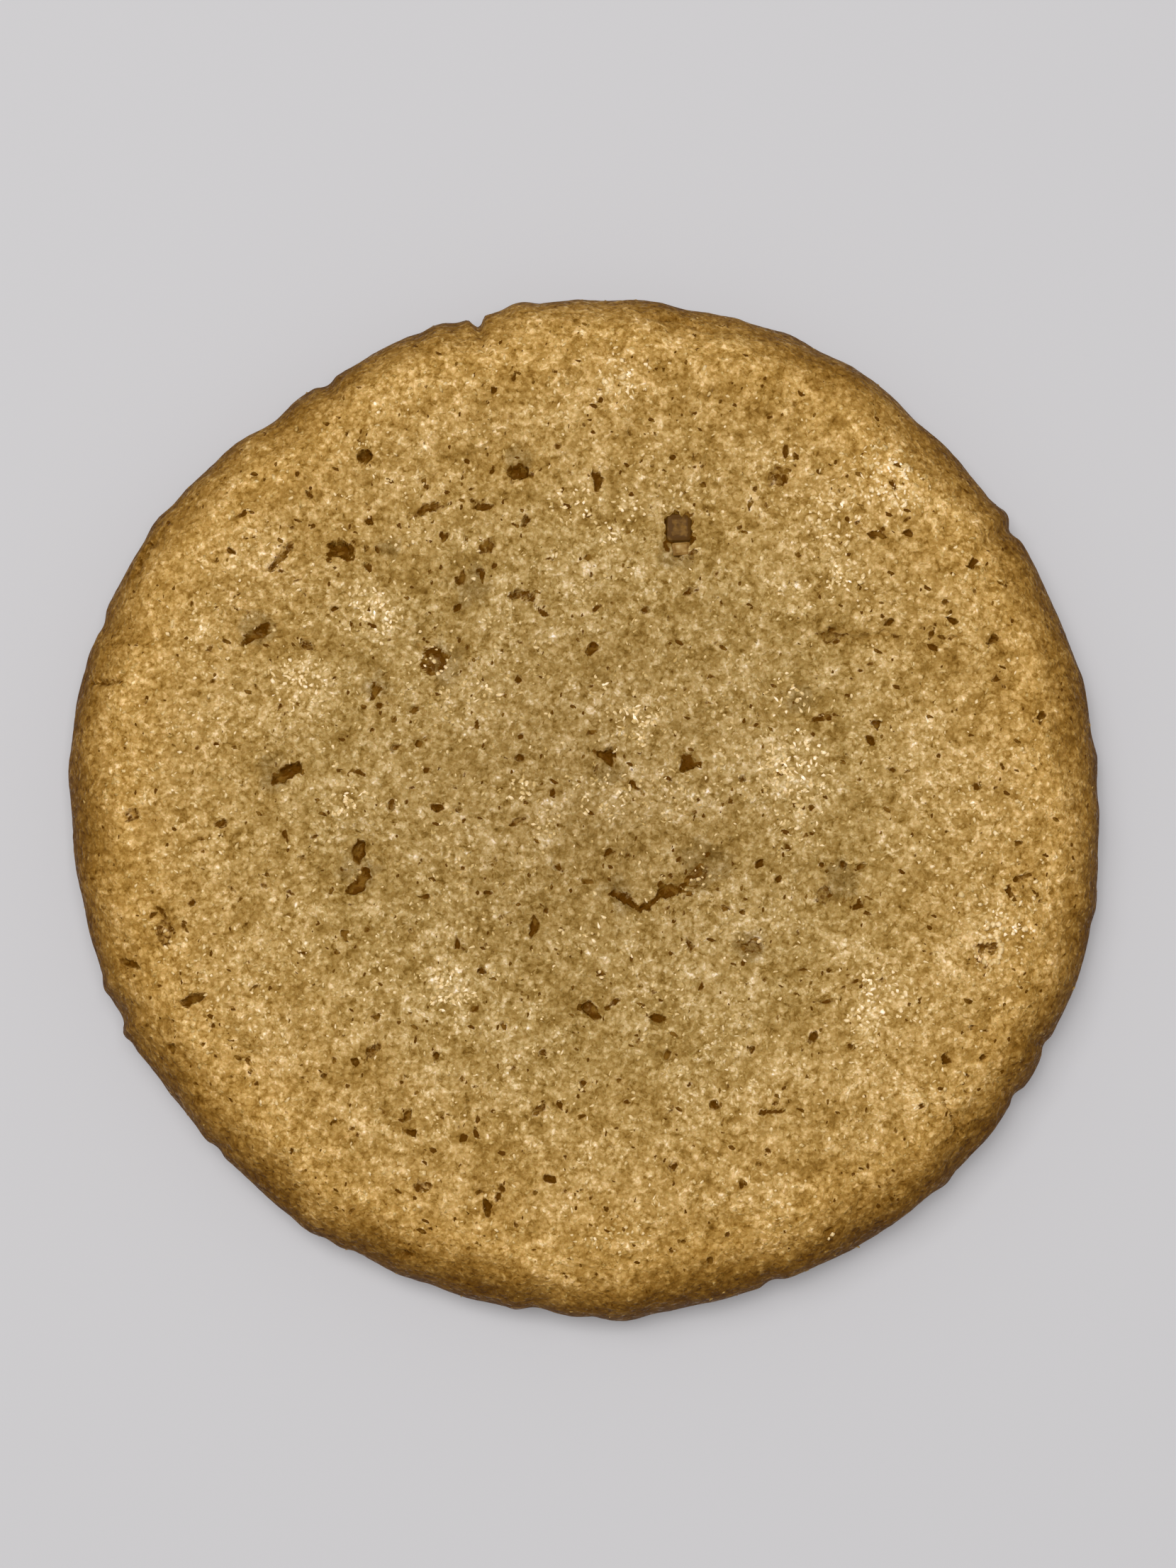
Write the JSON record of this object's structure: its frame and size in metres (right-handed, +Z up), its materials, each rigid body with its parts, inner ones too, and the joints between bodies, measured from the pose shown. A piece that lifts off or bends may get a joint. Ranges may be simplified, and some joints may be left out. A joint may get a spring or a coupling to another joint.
{
  "type": "sugar cookie",
  "caption": "Round baked sugar cookie with a pitted, softly uneven golden top, a rounded brown rim and a flat base.",
  "frame": {"origin": "middle of the cookie's outline, on the flat base", "axes": "+Z up through the thickness, +Y towards the picture's upper side, +X towards its right side"},
  "size_m": [0.0708, 0.0698, 0.0097],
  "materials": {
    "crust": "rough baked crust, beige in the middle, golden towards the rim and brown at the edge and base"
  },
  "bodies": {
    "root": {"cookie": "crust"}
  },
  "joints": []
}
